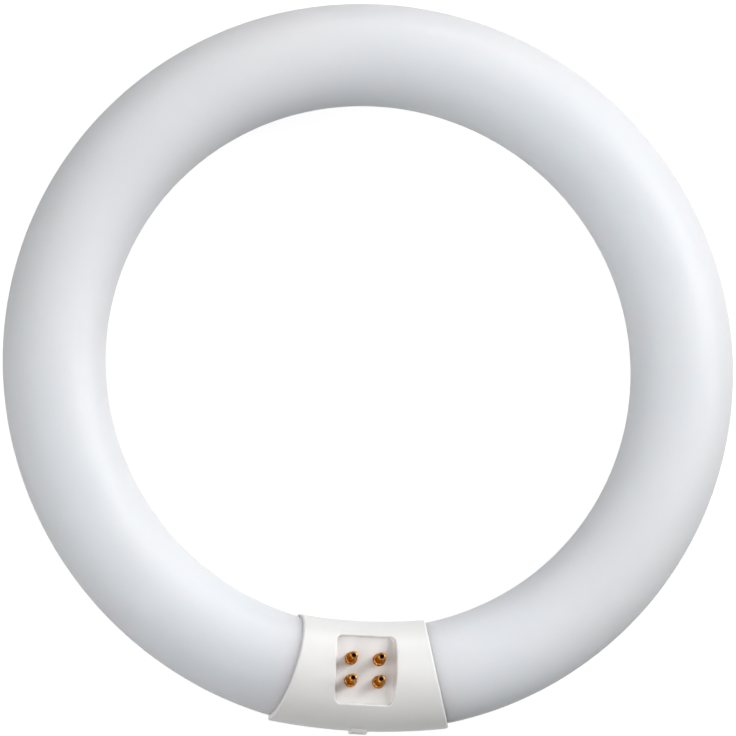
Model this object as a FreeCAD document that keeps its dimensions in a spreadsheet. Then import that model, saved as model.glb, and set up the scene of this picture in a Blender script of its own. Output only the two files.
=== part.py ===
import FreeCAD, Part
import os
import Sketcher

# Circular fluorescent tube lying on its back, pins up, ring centre on the Z axis.
# Lengths are in millimetres and angles in degrees.
doc = FreeCAD.newDocument("circular_fluorescent_tube")
dims = doc.addObject("Spreadsheet::Sheet", "dims")

sizes = {
    # Glass ring and its sealed ends
    "ring_radius": 89.2,
    "tube_diameter": 29.0,
    "glass_wall": 0.95,
    "seal_length": 4.2,
    "seal_roll": 4.0,
    "seal_rim_radius": 9.0,
    "stem_depth": 8.0,
    "stem_radius": 4.8,
    "stem_press": 2.5,
    "exhaust_radius": 1.8,
    "exhaust_length": 5.5,
    # Moulded base, a flatter arc than the ring
    "base_bow_radius": 150.0,
    "base_end_offset": 0.355,
    "base_wall": 0.9,
    "base_end_lean": 9.3,
    "base_end_edge": 0.45,
    "seam_edge": 0.18,
    "glass_clearance": 0.1,
    "glass_grip": 6.23,
    "seal_clearance": 0.9,
    "partition": 1.4,
    "chamber_wall": 1.6,
    "lead_passage_radius": 7.5,
    # Recess around the pins, measured at its floor
    "recess_width": 16.0,
    "recess_length": 19.0,
    "recess_depth": 4.5,
    "recess_draft": 8.0,
    "recess_corner": 1.4,
    "recess_edge": 0.35,
    "recess_wall": 2.4,
    "floor_thickness": 1.6,
    # Snap tongue on the outer side of the base
    "latch_width": 4.8,
    "latch_proud": 0.8,
    "latch_top": 2.4,
    "latch_root": 6.0,
    "latch_seat": 0.7,
    "latch_slope": 4.0,
    "latch_bevel": 0.5,
    "catch_width": 2.2,
    "catch_foot": 0.6,
    "catch_top": 1.5,
    "snap_clearance": 0.15,
    # Hook on the inner side of the base
    "hook_width": 6.0,
    "hook_top": 5.0,
    "hook_root": 6.0,
    "hook_thickness": 1.1,
    "hook_offset": 0.65,
    "hook_nose": 0.5,
    "hook_nose_height": 3.2,
    # Contact pins
    "pin_pitch_across": 7.92,
    "pin_pitch_radial": 6.35,
    "pin_radius": 1.2,
    "pin_length": 7.0,
    "pin_tip_round": 0.6,
    "pin_dimple_radius": 0.5,
    "pin_dimple_depth": 0.9,
    "collar_radius": 1.75,
    "collar_height": 1.2,
    "collar_round": 0.45,
    "tail_radius": 1.0,
    "tail_clearance": 0.03,
    "tail_stub": 1.3,
    "stake_radius": 1.5,
    "stake_height": 0.5,
    "socket_depth": 3.0,
    # Lead wires
    "wire_radius": 0.3,
    "wire_clearance": 0.05,
    "wire_bend": 3.0,
    "wire_end_gap": 0.1,
    "lead_spread": 6.0,
}
# Sizes that follow from the ones above, with reaches measured sideways from the middle of the base
derived = {
    "base_radius": "tube_diameter / 2 + glass_clearance + base_wall",
    "recess_floor": "base_radius - recess_depth",
    "chamber_radius": "base_radius - chamber_wall",
    "chamber_roof": "recess_floor - floor_thickness",
    "stop_reach": "recess_width / 2 + recess_wall",
    "tube_end_reach": "stop_reach + seal_clearance + seal_length",
    "base_end_reach": "tube_end_reach + glass_grip",
    "ring_sag": "ring_radius - sqrt(ring_radius ^ 2 - base_end_reach ^ 2)",
    "bow_sag": "base_bow_radius - sqrt(base_bow_radius ^ 2 - base_end_reach ^ 2)",
    "base_centre_radius": "ring_radius - ring_sag + bow_sag + base_end_offset",
    "chamber_angle": "asin((stop_reach - partition) / ring_radius)",
    "stop_angle": "asin(stop_reach / ring_radius)",
    "tube_end_angle": "asin(tube_end_reach / ring_radius)",
    "base_end_angle": "asin(base_end_reach / ring_radius)",
    "tail_length": "floor_thickness + stake_height + tail_stub",
}
for row, (alias, size) in enumerate([*sizes.items(), *derived.items()], start=1):
    dims.set(f"A{row}", alias)
    dims.set(f"B{row}", f"={size}" if alias in derived else str(size))
    dims.setAlias(f"B{row}", alias)
doc.recompute()


def new_body(label):
    """Empty body that lifts its piece from the ring's mid-plane to the surface the lamp lies on."""
    body = doc.addObject("PartDesign::Body", label)
    body.Label = label
    body.setExpression("Placement.Base.z", "dims.base_radius")
    return body


def origin_plane(body, role):
    return next(plane for plane in body.Origin.OriginFeatures if plane.Role == role)


def new_sketch(body, name, role):
    sketch = body.newObject("Sketcher::SketchObject", name)
    sketch.AttachmentSupport = [(origin_plane(body, role), "")]
    sketch.MapMode = "FlatFace"
    return sketch


def bind(sketch, index, expression):
    sketch.setExpression(f"Constraints[{index}]", expression)


def place_point(sketch, geometry, position, x, y):
    """Ties one point of the sketch to its two coordinates, given as expressions of the sheet."""
    for kind, axis, expression in (("DistanceX", -2, x), ("DistanceY", -1, y)):
        if expression == "0":
            sketch.addConstraint(Sketcher.Constraint("PointOnObject", geometry, position, axis))
            continue
        size = float(sketch.evalExpression(expression))
        index = sketch.addConstraint(Sketcher.Constraint(kind, -1, 1, geometry, position, size))
        bind(sketch, index, expression)


def point_at(sketch, x, y):
    return FreeCAD.Vector(float(sketch.evalExpression(x)), float(sketch.evalExpression(y)), 0)


def draw_lines(sketch, corners, closed=True):
    """Chain of straight lines through corners whose coordinates are expressions of the sheet."""
    points = [point_at(sketch, x, y) for x, y in corners]
    ends = points[1:] + points[:1] if closed else points[1:]
    lines = [sketch.addGeometry(Part.LineSegment(start, end)) for start, end in zip(points, ends)]
    following = lines[1:] + lines[:1] if closed else lines[1:]
    for line, after in zip(lines, following):
        sketch.addConstraint(Sketcher.Constraint("Coincident", line, 2, after, 1))
    for line, (x, y) in zip(lines, corners):
        place_point(sketch, line, 1, x, y)
    if not closed:
        place_point(sketch, lines[-1], 2, *corners[-1])
    return lines


def round_corner(sketch, line, radius):
    """Rounds the corner at the end of a line and keeps the corner point that places it."""
    size = float(sketch.evalExpression(radius))
    sketch.fillet(line, 2, size, True, True)
    arc = max(i for i, geometry in enumerate(sketch.Geometry) if isinstance(geometry, Part.ArcOfCircle))
    bind(sketch, sketch.addConstraint(Sketcher.Constraint("Radius", arc, size)), radius)


def draw_circle(sketch, x, y, radius):
    size = float(sketch.evalExpression(radius))
    circle = sketch.addGeometry(Part.Circle(point_at(sketch, x, y), FreeCAD.Vector(0, 0, 1), size))
    place_point(sketch, circle, 3, x, y)
    bind(sketch, sketch.addConstraint(Sketcher.Constraint("Radius", circle, size)), radius)


def turn(body, kind, name, sketch, axis, angle, midplane=True):
    """Turned feature, either added (Revolution) or cut (Groove)."""
    feature = body.newObject(f"PartDesign::{kind}", name)
    feature.Profile = sketch
    feature.ReferenceAxis = (sketch, [axis])
    feature.Midplane = midplane
    feature.setExpression("Angle", angle)
    return feature


def extrude(body, kind, name, sketch, length, midplane=False, reverse=False):
    """Straight feature, either added (Pad) or cut (Pocket)."""
    feature = body.newObject(f"PartDesign::{kind}", name)
    feature.Profile = sketch
    feature.SideType = "Symmetric" if midplane else "One side"
    feature.Reversed = reverse
    feature.setExpression("Length", length)
    return feature


def mirror_left_right(body, name, originals):
    mirrored = body.newObject("PartDesign::Mirrored", name)
    mirrored.Originals = originals
    mirrored.MirrorPlane = (origin_plane(body, "YZ_Plane"), [""])
    body.Tip = mirrored
    return mirrored


def round_edges(body, name, radius, wanted):
    """Fillet on every edge of the finished shape so far that the given test accepts."""
    doc.recompute()
    base = body.Tip
    names = [f"Edge{i}" for i, edge in enumerate(base.Shape.Edges, start=1) if wanted(edge)]
    fillet = body.newObject("PartDesign::Fillet", name)
    fillet.Base = (base, names)
    fillet.setExpression("Radius", radius)
    return fillet


# Glass ring with a hollow section, open where the base sits
glass = new_body("glass_tube")
section = new_sketch(glass, "tube_section", "YZ_Plane")
draw_circle(section, "dims.ring_radius", "0", "dims.tube_diameter / 2")
draw_circle(section, "dims.ring_radius", "0", "dims.tube_diameter / 2 - dims.glass_wall")
turn(glass, "Revolution", "ring", section, "V_Axis", "360 deg - 2 * dims.tube_end_angle")

# Sealed end: rolled edge, funnel-shaped stem, pressed bottom and exhaust tip
seal = new_sketch(glass, "end_section", "XY_Plane")
seal.AttachmentOffset = FreeCAD.Placement(FreeCAD.Vector(), FreeCAD.Rotation(FreeCAD.Vector(0, 0, 1), -1))
seal.setExpression("AttachmentOffset.Base.x", "-dims.ring_radius * sin(dims.tube_end_angle)")
seal.setExpression("AttachmentOffset.Base.y", "-dims.ring_radius * cos(dims.tube_end_angle)")
seal.setExpression("AttachmentOffset.Rotation.Angle", "-dims.tube_end_angle")
seal_lines = draw_lines(seal, [
    ("0", "dims.tube_diameter / 2"),
    ("dims.seal_length", "dims.tube_diameter / 2"),
    ("dims.seal_length", "dims.seal_rim_radius"),
    ("-dims.stem_depth", "dims.stem_radius"),
    ("-dims.stem_depth", "dims.exhaust_radius"),
    ("dims.exhaust_length - dims.stem_depth", "dims.exhaust_radius"),
    ("dims.exhaust_length - dims.stem_depth", "0"),
    ("-dims.stem_depth - dims.stem_press", "0"),
    ("-dims.stem_depth - dims.stem_press", "dims.stem_radius"),
    ("dims.seal_length - dims.glass_wall", "dims.seal_rim_radius + dims.glass_wall"),
    ("dims.seal_length - dims.glass_wall", "dims.tube_diameter / 2 - dims.glass_wall"),
    ("0", "dims.tube_diameter / 2 - dims.glass_wall"),
])
round_corner(seal, seal_lines[0], "dims.seal_roll")
round_corner(seal, seal_lines[9], "dims.seal_roll - dims.glass_wall")
end = turn(glass, "Revolution", "sealed_end", seal, "H_Axis", "360", midplane=False)
mirror_left_right(glass, "sealed_ends", [end])


def is_end_edge(edge):
    """True for the outer edge of the base's two ends, away from the parting plane."""
    middle = edge.valueAt((edge.FirstParameter + edge.LastParameter) / 2)
    bow_axis_y = dims.base_bow_radius - dims.base_centre_radius
    from_bow = FreeCAD.Vector(middle.x, middle.y - bow_axis_y, 0).Length - dims.base_bow_radius
    depth = dims.base_radius - FreeCAD.Vector(from_bow, middle.z, 0).Length
    on_outside = abs(depth) < dims.base_end_edge / 10
    return on_outside and abs(middle.x) > dims.base_radius and abs(middle.z) > dims.base_end_edge


def half_base(label, front):
    """Half of the barrel-shaped base with the tunnels that take the two tube ends."""
    body = new_body(label)
    barrel = new_sketch(body, "barrel_section", "YZ_Plane")
    draw_circle(barrel, "-dims.base_centre_radius", "0", "dims.base_radius")
    bow_axis = "dims.base_bow_radius - dims.base_centre_radius"
    axis = draw_lines(barrel, [(bow_axis, "0"), (bow_axis, "dims.base_radius")], closed=False)
    barrel.setConstruction(axis[0], True)
    blank = "(dims.base_end_reach + dims.base_radius / 2)"
    turn(body, "Revolution", "barrel", barrel, "Axis0", f"2 * asin({blank} / dims.base_bow_radius)")

    parting = new_sketch(body, "parting_plane", "XY_Plane")
    reach = "(dims.base_end_reach + dims.base_radius)"
    draw_lines(parting, [
        (f"-{reach}", "-dims.base_centre_radius - dims.base_radius * 1.5"),
        (reach, "-dims.base_centre_radius - dims.base_radius * 1.5"),
        (reach, "-dims.base_centre_radius + dims.base_radius * 1.5"),
        (f"-{reach}", "-dims.base_centre_radius + dims.base_radius * 1.5"),
    ])
    extrude(body, "Pocket", "parting", parting, "dims.base_radius * 1.5", reverse=not front)

    seam = new_sketch(body, "seam_section", "YZ_Plane")
    outer_face = "(-dims.base_centre_radius - dims.base_radius)"
    inner_face = "(-dims.base_centre_radius + dims.base_radius)"
    for face in (outer_face, inner_face):
        draw_lines(seam, [
            (f"{face} - dims.seam_edge", "0"),
            (face, "-dims.seam_edge"),
            (f"{face} + dims.seam_edge", "0"),
            (face, "dims.seam_edge"),
        ])
    bow = draw_lines(seam, [(bow_axis, "0"), (bow_axis, "dims.base_radius")], closed=False)
    seam.setConstruction(bow[0], True)
    turn(body, "Groove", "seam", seam, "Axis0", f"2 * asin({blank} / dims.base_bow_radius)")

    ends = new_sketch(body, "end_outline", "XY_Plane")
    near = "(dims.base_centre_radius - dims.base_radius * 2)"
    far = "(dims.base_centre_radius + dims.base_radius * 2)"
    draw_lines(ends, [
        (f"-{near} * sin(dims.base_end_angle)", f"-{near} * cos(dims.base_end_angle)"),
        ("-dims.base_radius * 4", f"-{near} * cos(dims.base_end_angle)"),
        ("-dims.base_radius * 4", f"-{far} * cos(dims.base_end_angle)"),
        (f"-{far} * sin(dims.base_end_angle)", f"-{far} * cos(dims.base_end_angle)"),
    ])
    trim = extrude(body, "Pocket", "end_trim", ends, "dims.base_radius * 1.5", reverse=front)
    trim.setExpression("TaperAngle", "dims.base_end_lean")

    bore = new_sketch(body, "tunnel_section", "YZ_Plane")
    upright = FreeCAD.Rotation(FreeCAD.Vector(0, 1, 0), -1)
    bore.AttachmentOffset = FreeCAD.Placement(FreeCAD.Vector(), upright)
    bore.setExpression("AttachmentOffset.Rotation.Angle", "-dims.stop_angle")
    draw_circle(bore, "-dims.ring_radius", "0", "dims.tube_diameter / 2 + dims.glass_clearance")
    tunnel = turn(body, "Groove", "glass_tunnel", bore, "V_Axis", "dims.base_end_angle", midplane=False)
    tunnel.Reversed = True
    mirror_left_right(body, "both_ends", [trim, tunnel])

    chamber = new_sketch(body, "chamber_section", "YZ_Plane")
    if front:
        roof_half = "sqrt(dims.chamber_radius ^ 2 - dims.chamber_roof ^ 2)"
        draw_lines(chamber, [
            ("-dims.base_centre_radius - dims.chamber_radius", "0"),
            (f"-dims.base_centre_radius - {roof_half}", "dims.chamber_roof"),
            (f"-dims.base_centre_radius + {roof_half}", "dims.chamber_roof"),
            ("-dims.base_centre_radius + dims.chamber_radius", "0"),
        ])
    else:
        draw_circle(chamber, "-dims.base_centre_radius", "0", "dims.chamber_radius")
    turn(body, "Groove", "chamber", chamber, "V_Axis", "2 * dims.chamber_angle")

    passage = new_sketch(body, "passage_section", "YZ_Plane")
    draw_circle(passage, "-dims.ring_radius", "0", "dims.lead_passage_radius")
    turn(body, "Groove", "lead_passage", passage, "V_Axis", "2 * dims.tube_end_angle")
    round_edges(body, "end_edges", "dims.base_end_edge", is_end_edge)
    return body


# Front half of the base
front_shell = half_base("base_front_shell", True)
pin_row = "dims.pin_pitch_radial / 2"
pin_column = "dims.pin_pitch_across / 2"

# Recess with drafted walls and a flat floor for the pins
recess = new_sketch(front_shell, "recess_outline", "XY_Plane")
recess.setExpression("AttachmentOffset.Base.z", "dims.recess_floor")
recess_lines = draw_lines(recess, [
    ("-dims.recess_width / 2", "-dims.base_centre_radius - dims.recess_length / 2"),
    ("dims.recess_width / 2", "-dims.base_centre_radius - dims.recess_length / 2"),
    ("dims.recess_width / 2", "-dims.base_centre_radius + dims.recess_length / 2"),
    ("-dims.recess_width / 2", "-dims.base_centre_radius + dims.recess_length / 2"),
])
for line in recess_lines:
    round_corner(recess, line, "dims.recess_corner")
recess_cut = extrude(front_shell, "Pocket", "recess", recess, "dims.base_radius", reverse=True)
recess_cut.setExpression("TaperAngle", "dims.recess_draft")


def is_recess_rim(edge):
    """True for the edges where the recess breaks through the round front of the base."""
    middle = edge.valueAt((edge.FirstParameter + edge.LastParameter) / 2)
    across = abs(middle.x) < dims.recess_width / 2 + dims.recess_corner
    along = abs(middle.y + dims.base_centre_radius) < dims.recess_length / 2 + dims.recess_corner
    above_floor = all(vertex.Point.z > dims.recess_floor + dims.recess_edge for vertex in edge.Vertexes)
    return across and along and above_floor


holes = new_sketch(front_shell, "pin_holes_plan", "XY_Plane")
holes.setExpression("AttachmentOffset.Base.z", "dims.recess_floor")
hole_radius = "dims.tail_radius + dims.tail_clearance"
for column in (f"-{pin_column}", pin_column):
    for row in (f"-{pin_row}", pin_row):
        draw_circle(holes, column, f"{row} - dims.base_centre_radius", hole_radius)
extrude(front_shell, "Pocket", "pin_holes", holes, "dims.floor_thickness * 2")

# Slot and catch for the snap tongue of the rear half
latch_face = "(-dims.base_centre_radius - dims.base_radius)"
slot_floor = f"{latch_face} + dims.latch_seat + dims.snap_clearance"
slot = new_sketch(front_shell, "latch_slot_outline", "YZ_Plane")
draw_lines(slot, [
    (f"{latch_face} - dims.latch_proud", "0"),
    (slot_floor, "0"),
    (slot_floor, "dims.latch_top + dims.snap_clearance"),
    (f"{latch_face} - dims.latch_proud", "dims.latch_top + dims.snap_clearance"),
])
slot_width = "dims.latch_width + 2 * dims.snap_clearance"
extrude(front_shell, "Pocket", "latch_slot", slot, slot_width, midplane=True)
catch = new_sketch(front_shell, "catch_outline", "YZ_Plane")
draw_lines(catch, [
    (f"{slot_floor} + dims.snap_clearance", "dims.catch_foot"),
    (f"{slot_floor} + dims.snap_clearance", "dims.catch_top"),
    (latch_face, "dims.catch_top"),
    (f"{slot_floor} - dims.snap_clearance", "dims.catch_foot"),
])
extrude(front_shell, "Pad", "catch", catch, "dims.catch_width", midplane=True)

# Pocket that takes the hook of the rear half
hook_face = "(-dims.base_centre_radius + dims.chamber_radius - dims.hook_offset)"
hook_back = f"{hook_face} - dims.hook_thickness"
hook_slot = new_sketch(front_shell, "hook_slot_outline", "YZ_Plane")
draw_lines(hook_slot, [
    (f"{hook_back} - dims.snap_clearance", "0"),
    (f"{hook_face} + dims.snap_clearance", "0"),
    (f"{hook_face} + dims.snap_clearance", "dims.hook_nose_height - dims.snap_clearance"),
    (f"{hook_face} + dims.hook_nose + dims.snap_clearance", "dims.hook_nose_height - dims.snap_clearance"),
    (f"{hook_face} + dims.hook_nose + dims.snap_clearance", "dims.hook_top + dims.snap_clearance"),
    (f"{hook_back} - dims.snap_clearance", "dims.hook_top + dims.snap_clearance"),
])
hook_slot_width = "dims.hook_width + 2 * dims.snap_clearance"
extrude(front_shell, "Pocket", "hook_slot", hook_slot, hook_slot_width, midplane=True)
round_edges(front_shell, "recess_rim", "dims.recess_edge", is_recess_rim)

# Rear half of the base with the snap tongue outside and the hook inside
rear_shell = half_base("base_rear_shell", False)
tongue = new_sketch(rear_shell, "tongue_outline", "YZ_Plane")
draw_lines(tongue, [
    (f"{latch_face} + dims.latch_seat * 2", "-dims.latch_root"),
    (f"{latch_face} - dims.latch_proud", "dims.latch_slope - dims.latch_root"),
    (f"{latch_face} - dims.latch_proud", "dims.latch_top - dims.latch_bevel"),
    (f"{latch_face} - dims.latch_proud + dims.latch_bevel", "dims.latch_top"),
    (f"{latch_face} + dims.latch_seat", "dims.latch_top"),
    (f"{latch_face} + dims.latch_seat", "0"),
    (f"{latch_face} + dims.latch_seat * 2", "0"),
])
extrude(rear_shell, "Pad", "tongue", tongue, "dims.latch_width", midplane=True)
window = new_sketch(rear_shell, "window_outline", "YZ_Plane")
draw_lines(window, [
    (f"{latch_face} - dims.latch_proud * 2", "dims.catch_foot - dims.snap_clearance"),
    (f"{latch_face} + dims.latch_seat * 2", "dims.catch_foot - dims.snap_clearance"),
    (f"{latch_face} + dims.latch_seat * 2", "dims.catch_top + dims.snap_clearance"),
    (f"{latch_face} - dims.latch_proud * 2", "dims.catch_top + dims.snap_clearance"),
])
extrude(rear_shell, "Pocket", "window", window, "dims.catch_width + 2 * dims.snap_clearance", midplane=True)
hook = new_sketch(rear_shell, "hook_outline", "YZ_Plane")
draw_lines(hook, [
    (f"{hook_face} - dims.hook_offset / 2", "-dims.hook_root"),
    (f"{hook_face} + dims.hook_offset + dims.hook_nose", "0"),
    (hook_face, "0"),
    (hook_face, "dims.hook_nose_height"),
    (f"{hook_face} + dims.hook_nose", "dims.hook_nose_height"),
    (f"{hook_face} + dims.hook_nose", "(dims.hook_nose_height + dims.hook_top) / 2"),
    (hook_face, "dims.hook_top"),
    (hook_back, "dims.hook_top"),
    (hook_back, "0"),
])
extrude(rear_shell, "Pad", "hook", hook, "dims.hook_width", midplane=True)


def contact_pin(label, side, row):
    """Turned brass pin: staked tail with a socket for the wire, collar, shank and dimpled tip."""
    body = new_body(label)
    body.setExpression("Placement.Base.x", f"{side} * {pin_column}")
    body.setExpression("Placement.Base.y", f"{row} * {pin_row} - dims.base_centre_radius")
    body.setExpression("Placement.Base.z", "dims.base_radius + dims.recess_floor")
    profile = new_sketch(body, "pin_section", "XZ_Plane")
    lines = draw_lines(profile, [
        ("0", "dims.pin_length - dims.pin_dimple_depth"),
        ("dims.pin_dimple_radius", "dims.pin_length - dims.pin_dimple_depth / 2"),
        ("dims.pin_dimple_radius", "dims.pin_length"),
        ("dims.pin_radius", "dims.pin_length"),
        ("dims.pin_radius", "dims.collar_height"),
        ("dims.collar_radius", "dims.collar_height"),
        ("dims.collar_radius", "0"),
        ("dims.tail_radius", "0"),
        ("dims.tail_radius", "-dims.floor_thickness"),
        ("dims.stake_radius", "-dims.floor_thickness"),
        ("dims.stake_radius", "-dims.floor_thickness - dims.stake_height"),
        ("dims.tail_radius", "-dims.floor_thickness - dims.stake_height"),
        ("dims.tail_radius", "-dims.tail_length"),
        ("dims.wire_radius + dims.wire_clearance", "-dims.tail_length"),
        ("dims.wire_radius + dims.wire_clearance", "dims.socket_depth - dims.tail_length"),
        ("0", "dims.socket_depth - dims.tail_length"),
    ])
    round_corner(profile, lines[2], "dims.pin_tip_round")
    round_corner(profile, lines[4], "dims.collar_round")
    turn(body, "Revolution", "pin", profile, "V_Axis", "360", midplane=False)


def lead_wire(label, side, row):
    """Wire from the socket in a pin's tail down to the mid-plane and along to the glass stem."""
    body = new_body(label)
    pin_x = f"{side} * {pin_column}"
    pin_y = f"({row} * {pin_row} - dims.base_centre_radius)"
    sine, cosine = "sin(dims.tube_end_angle)", "cos(dims.tube_end_angle)"
    offset = f"{row} * dims.lead_spread / 2"
    stem_x = f"{side} * (dims.ring_radius * {sine} + dims.stem_depth * {cosine} - {offset} * {sine})"
    stem_y = f"(dims.stem_depth * {sine} - dims.ring_radius * {cosine} + {offset} * {cosine})"
    body.Placement = FreeCAD.Placement(FreeCAD.Vector(), FreeCAD.Rotation(FreeCAD.Vector(0, 0, 1), 1))
    body.setExpression("Placement.Base.x", pin_x)
    body.setExpression("Placement.Base.y", pin_y)
    body.setExpression("Placement.Rotation.Angle", f"atan2({stem_y} - {pin_y}; {stem_x} - {pin_x})")
    run = f"hypot({stem_x} - {pin_x}; {stem_y} - {pin_y}) - dims.wire_end_gap"
    top = "dims.recess_floor - dims.tail_length + dims.socket_depth - dims.wire_end_gap"
    path = new_sketch(body, "wire_path", "XZ_Plane")
    lines = draw_lines(path, [("0", top), ("0", "0"), (run, "0")], closed=False)
    round_corner(path, lines[0], "dims.wire_bend")
    section = new_sketch(body, "wire_section", "XY_Plane")
    section.setExpression("AttachmentOffset.Base.z", top)
    draw_circle(section, "0", "0", "dims.wire_radius")
    wire = body.newObject("PartDesign::AdditivePipe", "wire")
    wire.Profile = section
    wire.Spine = path


# Contact pins and the wires that join them to the glass
for side_name, side in (("left", -1), ("right", 1)):
    for row_name, row in (("inner", 1), ("outer", -1)):
        contact_pin(f"contact_pin_{side_name}_{row_name}", side, row)
        lead_wire(f"lead_wire_{side_name}_{row_name}", side, row)

doc.recompute()
for item in doc.Objects:
    if "Invalid" in item.State or "Error" in item.State:
        raise RuntimeError(f"{item.Label} did not rebuild: {item.State}")

os.makedirs("parts", exist_ok=True)
for item in doc.Objects:
    if item.TypeId == "PartDesign::Body":
        if item.Shape.isNull() or not item.Shape.isValid():
            raise RuntimeError(f"{item.Label} has no valid shape")
        item.Shape.exportStep(f"parts/{item.Label}.step")
        print(item.Label, len(item.Shape.Solids), "solid", round(item.Shape.Volume, 1), "mm3")
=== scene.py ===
import math

import bmesh
import bpy
from mathutils import Matrix, Vector


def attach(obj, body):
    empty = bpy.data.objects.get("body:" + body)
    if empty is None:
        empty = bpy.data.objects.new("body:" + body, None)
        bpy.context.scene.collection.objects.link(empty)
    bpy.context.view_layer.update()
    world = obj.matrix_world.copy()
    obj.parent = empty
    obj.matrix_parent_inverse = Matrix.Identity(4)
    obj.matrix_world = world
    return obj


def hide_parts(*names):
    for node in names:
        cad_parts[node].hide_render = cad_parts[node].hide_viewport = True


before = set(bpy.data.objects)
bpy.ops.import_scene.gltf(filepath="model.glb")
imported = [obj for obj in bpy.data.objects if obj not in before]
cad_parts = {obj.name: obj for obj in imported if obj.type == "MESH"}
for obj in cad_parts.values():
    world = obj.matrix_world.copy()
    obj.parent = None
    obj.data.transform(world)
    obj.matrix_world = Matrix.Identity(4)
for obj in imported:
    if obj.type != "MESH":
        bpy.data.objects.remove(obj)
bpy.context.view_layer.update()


# Ring tube: clear soda-lime glass drawn as a straight tube, coated inside with
# white phosphor powder and bent into a ring while hot. The gloss of the glass
# lies over a matt, slightly bluish white in which light scatters.
def new_material(name):
    """New node material, with its node tree and its Principled shader."""
    material = bpy.data.materials.new(name)
    material.use_nodes = True
    tree = material.node_tree
    return material, tree, tree.nodes["Principled BSDF"]


def add_node(tree, kind, inputs=None, **settings):
    """Adds a node, sets its properties, and fills or links its inputs by name or number."""
    node = tree.nodes.new(kind)
    for name, value in settings.items():
        setattr(node, name, value)
    for name, value in (inputs or {}).items():
        if isinstance(value, bpy.types.NodeSocket):
            tree.links.new(value, node.inputs[name])
        else:
            node.inputs[name].default_value = value
    return node


def add_noise(tree, coordinates, scale, detail):
    return add_node(tree, "ShaderNodeTexNoise", {
        "Vector": coordinates, "Scale": scale, "Detail": detail, "Roughness": 0.55,
    }).outputs["Fac"]


def blend_colours(tree, factor, low_colour, high_colour, start=0.35, end=0.65):
    """Colour ramp between two colours over the part of the factor that a noise really uses."""
    ramp = add_node(tree, "ShaderNodeValToRGB", {"Fac": factor})
    ramp.color_ramp.elements[0].position = start
    ramp.color_ramp.elements[0].color = (*low_colour, 1)
    ramp.color_ramp.elements[1].position = end
    ramp.color_ramp.elements[1].color = (*high_colour, 1)
    return ramp.outputs["Color"]


def mix_colours(tree, factor, first, second):
    return add_node(tree, "ShaderNodeMix", {"Factor": factor, "A": first, "B": second},
                    data_type="RGBA").outputs["Result"]


def spread(tree, factor, low, high, start=0.3, end=0.7):
    """Maps the used part of a factor to a range of values."""
    return add_node(tree, "ShaderNodeMapRange", {
        "Value": factor, "From Min": start, "From Max": end, "To Min": low, "To Max": high,
    }).outputs["Result"]


def add_bump(tree, height, depth, strength):
    return add_node(tree, "ShaderNodeBump", {
        "Height": height, "Distance": depth, "Strength": strength,
    }).outputs["Normal"]


def coated_glass():
    """White coating under glass, less blue and with shallower scattering close to the base."""
    base_centre = (0.0, -0.0892, 0.0155)
    end_reach = 0.024
    ring_reach = 0.075
    end_depth = 0.010
    ring_depth = 0.05
    material, tree, shader = new_material("coated_glass_look")
    place = add_node(tree, "ShaderNodeTexCoord").outputs["Object"]
    cloud = add_noise(tree, place, scale=28.0, detail=2.0)
    powder = add_noise(tree, place, scale=2600.0, detail=2.0)
    ripple = add_noise(tree, place, scale=42.0, detail=1.0)
    from_base = add_node(tree, "ShaderNodeVectorMath", {0: place, 1: base_centre},
                         operation="DISTANCE").outputs["Value"]
    ring_share = spread(tree, from_base, 0.0, 1.0, start=end_reach, end=ring_reach)
    ring_coat = blend_colours(tree, cloud, (0.730, 0.766, 0.817), (0.756, 0.792, 0.842))
    end_coat = blend_colours(tree, cloud, (0.747, 0.764, 0.795), (0.772, 0.789, 0.820))
    coat = mix_colours(tree, ring_share, end_coat, ring_coat)
    scatter_depth = spread(tree, ring_share, end_depth, ring_depth, start=0.0, end=1.0)
    tree.links.new(coat, shader.inputs["Base Color"])
    tree.links.new(spread(tree, cloud, 0.46, 0.54), shader.inputs["Roughness"])
    tree.links.new(add_bump(tree, powder, depth=0.00004, strength=0.25), shader.inputs["Normal"])
    tree.links.new(add_bump(tree, ripple, depth=0.0002, strength=0.12), shader.inputs["Coat Normal"])
    shader.inputs["Specular IOR Level"].default_value = 0.15
    shader.inputs["Subsurface Weight"].default_value = 1.0
    shader.inputs["Subsurface Radius"].default_value = (0.8, 1.0, 1.0)
    tree.links.new(scatter_depth, shader.inputs["Subsurface Scale"])
    shader.inputs["Coat Weight"].default_value = 0.16
    shader.inputs["Coat Roughness"].default_value = 0.3
    shader.inputs["Coat IOR"].default_value = 1.5
    return material


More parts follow.
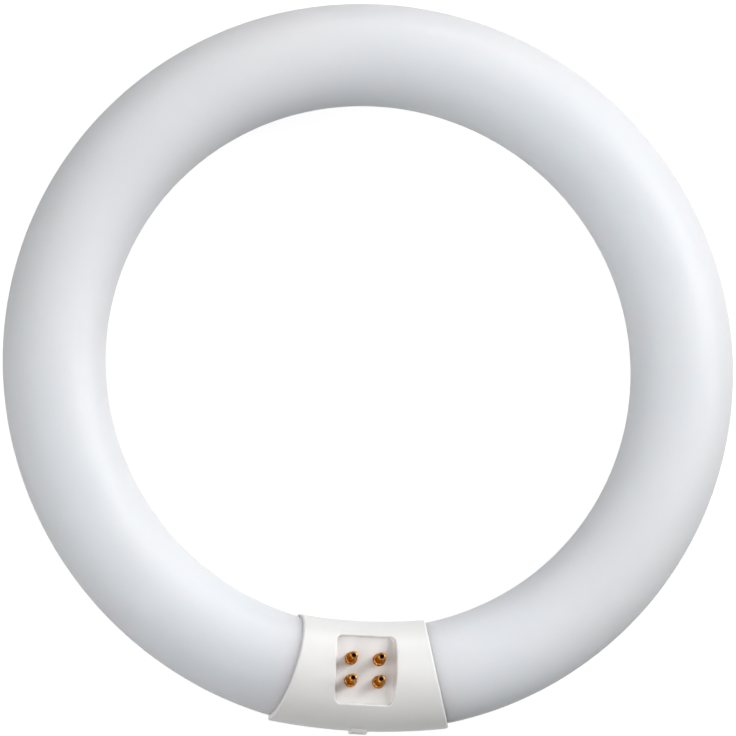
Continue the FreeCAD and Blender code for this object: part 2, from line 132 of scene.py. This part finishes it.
def ring_tube():
    """Closed ring of tube with rolled ends, pressed in to the stem where the base hides them."""
    tube_radius = 0.0145
    ring_radius = 0.0892
    mid_height = 0.0155
    end_angle = math.radians(10.008)
    around = 80
    along = 300
    roll_radius = 0.004
    roll_steps = 6
    stem_depth = 0.008
    stem_share = 0.45
    tube = bmesh.new()
    rim = bmesh.ops.create_circle(tube, segments=around, radius=tube_radius)["verts"]
    bmesh.ops.rotate(tube, verts=rim, matrix=Matrix.Rotation(math.pi / 2, 3, "X"))
    bmesh.ops.translate(tube, verts=rim, vec=(ring_radius, 0, mid_height))
    bmesh.ops.rotate(tube, verts=rim, matrix=Matrix.Rotation(end_angle - math.pi / 2, 3, "Z"))
    bmesh.ops.spin(tube, geom=tube.edges[:], cent=(0, 0, 0), axis=(0, 0, 1),
                   angle=2 * math.pi - 2 * end_angle, steps=along)
    for side in (-1, 1):
        angle = side * end_angle - math.pi / 2
        centre = Vector((math.cos(angle), math.sin(angle), 0)) * ring_radius + Vector((0, 0, mid_height))
        outwards = Vector((math.sin(angle), -math.cos(angle), 0)) * side
        loop = [edge for edge in tube.edges if edge.is_boundary
                and all((vert.co - centre).length < 2 * tube_radius for vert in edge.verts)]
        radius = tube_radius
        for step in range(1, roll_steps + 1):
            bend = step / roll_steps * math.pi / 2
            wanted = tube_radius - roll_radius * (1 - math.cos(bend))
            advance = roll_radius * (math.sin(bend) - math.sin(bend - math.pi / 2 / roll_steps))
            loop = pull_loop(tube, loop, outwards * advance, centre, wanted / radius)
            centre += outwards * advance
            radius = wanted
        loop = pull_loop(tube, loop, -outwards * stem_depth, centre, stem_share)
        bmesh.ops.contextual_create(tube, geom=loop)
    bmesh.ops.recalc_face_normals(tube, faces=tube.faces[:])
    return finished_piece("ring_tube", tube, coated_glass())


def pull_loop(mesh, loop, move, centre, scale):
    """Extrudes an open edge loop by a step and scales the new loop about its own centre."""
    made = bmesh.ops.extrude_edge_only(mesh, edges=loop)["geom"]
    verts = [item for item in made if isinstance(item, bmesh.types.BMVert)]
    bmesh.ops.translate(mesh, verts=verts, vec=move)
    middle = Matrix.Translation(-(centre + move))
    bmesh.ops.scale(mesh, verts=verts, vec=(scale, scale, scale), space=middle)
    return [item for item in made if isinstance(item, bmesh.types.BMEdge)]


def finished_piece(name, shape, material):
    """Turns a worked bmesh into a smooth-shaded object at the origin that rides on the lamp."""
    mesh = bpy.data.meshes.new(name)
    shape.to_mesh(mesh)
    shape.free()
    mesh.shade_smooth()
    mesh.materials.append(material)
    piece = bpy.data.objects.new(name, mesh)
    bpy.context.scene.collection.objects.link(piece)
    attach(piece, "root")
    return piece


tube = ring_tube()
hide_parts("glass_tube")


# Lead wires: plated steel wire, drawn along its length and sealed into the
# glass stems. The base hides them on their way to the pins.
def dress(nodes, material):
    """Gives one finish to every slot of the named solids."""
    for name in nodes:
        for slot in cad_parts[name].material_slots:
            slot.material = material


def lead_metal():
    material, tree, shader = new_material("lead_metal_look")
    place = add_node(tree, "ShaderNodeTexCoord").outputs["Object"]
    draw_marks = add_noise(tree, place, scale=1500.0, detail=3.0)
    plating = blend_colours(tree, draw_marks, (0.50, 0.49, 0.47), (0.66, 0.65, 0.63))
    tree.links.new(plating, shader.inputs["Base Color"])
    tree.links.new(spread(tree, draw_marks, 0.25, 0.42), shader.inputs["Roughness"])
    shader.inputs["Metallic"].default_value = 1.0
    return material


dress([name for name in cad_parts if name.startswith("lead_wire")], lead_metal())


# Base: two moulded halves of warm white plastic that snap together around the
# tube ends. The mould leaves a fine satin grain and faint flow clouds.
def base_plastic():
    material, tree, shader = new_material("base_plastic_look")
    place = add_node(tree, "ShaderNodeTexCoord").outputs["Object"]
    flow = add_noise(tree, place, scale=90.0, detail=3.0)
    grain = add_noise(tree, place, scale=2200.0, detail=3.0)
    warm_white = blend_colours(tree, flow, (0.835, 0.830, 0.818), (0.860, 0.855, 0.843))
    tree.links.new(warm_white, shader.inputs["Base Color"])
    tree.links.new(spread(tree, grain, 0.36, 0.5), shader.inputs["Roughness"])
    tree.links.new(add_bump(tree, grain, depth=0.00005, strength=0.3), shader.inputs["Normal"])
    shader.inputs["Specular IOR Level"].default_value = 0.45
    return material


dress(["base_front_shell", "base_rear_shell"], base_plastic())


# Contact pins: four pins turned from brass rod and staked into the floor of the
# recess. Fine tool rings run round the shank under a little tarnish, and the
# tip's hollow is coloured near-black as painted shade.
def add_vector_step(tree, operation, first, second=(0.0, 0.0, 0.0)):
    return add_node(tree, "ShaderNodeVectorMath", {0: first, 1: second}, operation=operation).outputs


def pin_brass():
    """Tarnished brass, golden at the grazed shank, with painted shade as a dark disc within the radius
    of a tip's hollow.
    """
    pins_centre = (0.0, -0.08845, 0.0)
    pin_offset = (0.00396, 0.003175, 0.0)
    hollow_radius = 0.0005
    painted_shade_edge_radius = 0.0009
    # Near-black colour of the painted shade in each tip's hollow.
    tip_hollow_shade_colour = (0.03, 0.018, 0.01, 1)
    material, tree, shader = new_material("pin_brass_look")
    place = add_node(tree, "ShaderNodeTexCoord").outputs["Object"]
    tarnish = add_noise(tree, place, scale=1300.0, detail=4.0)
    tool_rings = add_node(tree, "ShaderNodeTexWave", {
        "Vector": place, "Scale": 900.0, "Distortion": 0.6, "Detail": 1.0,
    }, wave_type="BANDS", bands_direction="Z").outputs["Fac"]
    brass = blend_colours(tree, tarnish, (0.15, 0.05, 0.012), (0.55, 0.25, 0.06), start=0.36, end=0.64)
    from_centre = add_vector_step(tree, "SUBTRACT", place, pins_centre)["Vector"]
    one_corner = add_vector_step(tree, "ABSOLUTE", from_centre)["Vector"]
    from_axis = add_vector_step(tree, "SUBTRACT", one_corner, pin_offset)["Vector"]
    across = add_vector_step(tree, "MULTIPLY", from_axis, (1.0, 1.0, 0.0))["Vector"]
    radius = add_vector_step(tree, "LENGTH", across)["Value"]
    # Painted shade: every point within the hollow's radius of a pin's axis turns near-black, fading out
    # to brass.
    outside_painted_shade = spread(tree, radius, 0.0, 1.0, start=hollow_radius, end=painted_shade_edge_radius)
    tree.links.new(mix_colours(tree, outside_painted_shade, tip_hollow_shade_colour, brass), shader.inputs["Base Color"])
    tree.links.new(spread(tree, tarnish, 0.38, 0.2), shader.inputs["Roughness"])
    tree.links.new(add_bump(tree, tool_rings, depth=0.00003, strength=0.2), shader.inputs["Normal"])
    shader.inputs["Metallic"].default_value = 1.0
    shader.inputs["Specular Tint"].default_value = (0.80, 0.45, 0.20, 1)
    return material


dress([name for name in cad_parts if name.startswith("contact_pin")], pin_brass())


# Floor: a broad pale studio table. The camera, mirrors and glass see it lifted
# to white, and the lamp's soft shadow stays on it.
def shows_backdrop(tree):
    """One for a ray from the camera, a gloss or a clear body, nothing for scattered light."""
    rays = add_node(tree, "ShaderNodeLightPath").outputs
    direct = add_node(tree, "ShaderNodeMath", {0: rays["Is Camera Ray"], 1: rays["Is Glossy Ray"]},
                      operation="MAXIMUM").outputs[0]
    return add_node(tree, "ShaderNodeMath", {0: direct, 1: rays["Is Transmission Ray"]},
                    operation="MAXIMUM").outputs[0]


def stage_floor():
    floor_size = 12.0
    table_grey = (0.25, 0.25, 0.25, 1)
    lift = 0.9
    bpy.ops.mesh.primitive_plane_add(size=floor_size)
    floor = bpy.context.object
    floor.name = "studio_floor"
    material, tree, shader = new_material("studio_floor_look")
    tree.nodes.remove(shader)
    matt = add_node(tree, "ShaderNodeBsdfDiffuse", {"Color": table_grey}).outputs["BSDF"]
    glow = add_node(tree, "ShaderNodeEmission", {
        "Color": (1, 1, 1, 1), "Strength": lift,
    }).outputs["Emission"]
    lifted = add_node(tree, "ShaderNodeAddShader", {0: matt, 1: glow}).outputs["Shader"]
    mixed = add_node(tree, "ShaderNodeMixShader", {"Fac": shows_backdrop(tree), 1: matt, 2: lifted})
    tree.links.new(mixed.outputs["Shader"], tree.nodes["Material Output"].inputs["Surface"])
    floor.data.materials.append(material)


stage_floor()


# Studio light: a key lamp high on the right draws the pins' soft shadows, two long
# soft boxes stand low on the right and beyond the ring, and a broad one fills from
# the left. The surround is white where it is seen and gives little light.
RING_CENTRE = Vector((0.0, 0.0, 0.0155))
LAMP_DISTANCE = 4.8


def white_surround(strength):
    """White all round for what is seen, with the given strength for the light it gives."""
    world = bpy.data.worlds.new("studio_surround")
    bpy.context.scene.world = world
    world.use_nodes = True
    tree = world.node_tree
    background = tree.nodes["Background"]
    shown = add_node(tree, "ShaderNodeMapRange", {
        "Value": shows_backdrop(tree), "To Min": strength, "To Max": 1.0,
    })
    tree.links.new(shown.outputs["Result"], background.inputs["Strength"])
    background.inputs["Color"].default_value = (1, 1, 1, 1)


def soft_lamp(name, towards, width, height, power):
    """Rectangular lamp that faces the ring's centre from the given direction."""
    lamp = bpy.data.lights.new(name, "AREA")
    lamp.shape = "RECTANGLE"
    lamp.size = width
    lamp.size_y = height
    lamp.energy = power
    holder = bpy.data.objects.new(name, lamp)
    bpy.context.scene.collection.objects.link(holder)
    direction = Vector(towards).normalized()
    holder.location = RING_CENTRE + direction * LAMP_DISTANCE
    holder.rotation_euler = direction.to_track_quat("Z", "Y").to_euler()


white_surround(strength=0.04)
soft_lamp("key_lamp", towards=(0.643, 0.371, 0.669), width=2.0, height=2.0, power=103.0)
soft_lamp("right_box", towards=(0.871, 0.317, 0.375), width=3.0, height=1.5, power=93.0)
soft_lamp("far_box", towards=(0.240, 0.896, 0.375), width=2.7, height=1.5, power=74.0)
soft_lamp("fill_box", towards=(-0.617, -0.394, 0.682), width=6.6, height=3.6, power=179.0)


# Camera: far off with a long lens, nearly straight above the ring and leaning a
# little to the left and towards the base, with the ring filling the picture.
def photo_camera():
    sight = Vector((-0.12023, -0.16909, 0.97824)).normalized()
    up = Vector((-0.05028, 0.98516, 0.16411))
    right = up.cross(sight).normalized()
    up = sight.cross(right)
    distance = 4.0
    frame_width = 0.20755
    down_shift = 0.00058
    left_shift = 0.000242
    aim = RING_CENTRE - up * down_shift - right * left_shift
    camera = bpy.data.cameras.new("photo_camera")
    camera.sensor_width = 36.0
    camera.lens = camera.sensor_width * distance / frame_width
    holder = bpy.data.objects.new("photo_camera", camera)
    bpy.context.scene.collection.objects.link(holder)
    turn = Matrix((right, up, sight)).transposed().to_4x4()
    holder.matrix_world = Matrix.Translation(aim + sight * distance) @ turn
    bpy.context.scene.camera = holder


photo_camera()
bpy.context.scene.view_settings.view_transform = "Standard"
